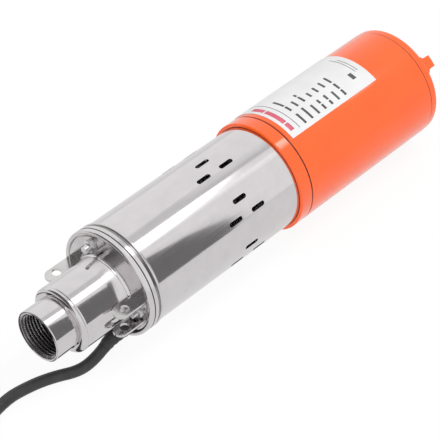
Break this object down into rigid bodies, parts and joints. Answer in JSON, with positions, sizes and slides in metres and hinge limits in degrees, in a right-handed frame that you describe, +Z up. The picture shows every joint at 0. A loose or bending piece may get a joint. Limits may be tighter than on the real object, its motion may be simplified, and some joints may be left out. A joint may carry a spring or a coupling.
{
  "type": "submersible screw pump",
  "caption": "Slim submersible screw pump with a threaded outlet neck, slotted polished steel barrel, painted motor casing, hanging lugs and a round lead.",
  "frame": {"origin": "on the floor, under the middle of the pump without its lead, the pump lying on its motor casing", "axes": "+X along the pump axis from the outlet to the motor, +Z up"},
  "size_m": [0.487, 0.1354, 0.0817],
  "materials": {
    "polished_steel": "polished",
    "sheet_steel": "satin",
    "plain_steel": "machined",
    "zinc_steel": "bright zinc",
    "bearing_steel": "polished",
    "cast_metal": "as cast",
    "orange_paint": "gloss",
    "black_rubber": "matt",
    "cable_sheath": "matt",
    "white_ceramic": "smooth",
    "magnet_grey": "dull",
    "brown_plastic": "dull",
    "carbon": "dull",
    "copper": "bright",
    "white_label": "smooth",
    "tie_plastic": "dull",
    "core_insulation": "dull"
  },
  "bodies": {
    "housing": {"outlet_neck": "polished_steel", "head_cap": "polished_steel", "cap_gasket": "black_rubber", "delivery_plate": "polished_steel", "head_seal_ring": "black_rubber", "pump_barrel": "polished_steel", "stator_gasket": "black_rubber", "stator_tube": "plain_steel", "stator_rubber": "black_rubber", "stator_seat": "cast_metal", "tie_studs": "zinc_steel", "stud_washers": "zinc_steel", "stud_nuts": "zinc_steel", "clevis_bracket": "sheet_steel", "strap_bracket": "sheet_steel", "cable_gland": "black_rubber", "inner_lead": "cable_sheath", "lead_grommet": "black_rubber", "front_shield": "cast_metal", "shield_seal_ring": "black_rubber", "seal_seat": "white_ceramic", "front_bearing_outer": "bearing_steel", "front_ring": "orange_paint", "motor_casing": "orange_paint", "magnets": "magnet_grey", "brush_holder": "brown_plastic", "brushes": "carbon", "brush_springs": "plain_steel", "rear_shield": "cast_metal", "rear_bearing_outer": "bearing_steel", "diaphragm": "black_rubber", "end_cap": "orange_paint", "label_plate": "white_label", "power_cable": "cable_sheath", "cable_coil": "cable_sheath", "coil_tie": "tie_plastic", "cable_tail": "cable_sheath", "cable_cores": "core_insulation", "core_tips": "copper"},
    "front_balls": {"front_bearing_balls": "bearing_steel"},
    "rear_balls": {"rear_bearing_balls": "bearing_steel"},
    "motor_rotor": {"motor_shaft": "plain_steel", "shaft_hub": "plain_steel", "hub_screw": "zinc_steel", "seal_bellows": "black_rubber", "seal_ring": "carbon", "front_bearing_inner": "bearing_steel", "armature_core": "plain_steel", "armature_windings": "copper", "commutator": "copper", "rear_bearing_inner": "bearing_steel"},
    "rod": {"connecting_rod": "plain_steel", "rod_sleeve": "black_rubber"},
    "pump_screw": {"screw_rotor": "polished_steel"}
  },
  "joints": [
    {"name": "motor_spin", "type": "hinge", "parent": "housing", "child": "motor_rotor", "pos_m": [0, 0, 0.0407], "axis": [1, 0, 0], "continuous": true},
    {"name": "front_balls_spin", "type": "hinge", "parent": "housing", "child": "front_balls", "pos_m": [0, 0, 0.0407], "axis": [1, 0, 0], "continuous": true},
    {"name": "rear_balls_spin", "type": "hinge", "parent": "housing", "child": "rear_balls", "pos_m": [0, 0, 0.0407], "axis": [1, 0, 0], "continuous": true},
    {"name": "rod_orbit", "type": "hinge", "parent": "housing", "child": "rod", "pos_m": [0, 0, 0.0407], "axis": [1, 0, 0], "continuous": true},
    {"name": "screw_spin", "type": "hinge", "parent": "rod", "child": "pump_screw", "pos_m": [-0.05, 0, 0.0432], "axis": [1, 0, 0], "continuous": true}
  ],
  "couplings": [
    {"joint": "front_balls_spin", "follows": "motor_spin", "ratio": 0.38},
    {"joint": "rear_balls_spin", "follows": "motor_spin", "ratio": 0.3722},
    {"joint": "rod_orbit", "follows": "motor_spin", "ratio": -1},
    {"joint": "screw_spin", "follows": "motor_spin", "ratio": 2}
  ]
}
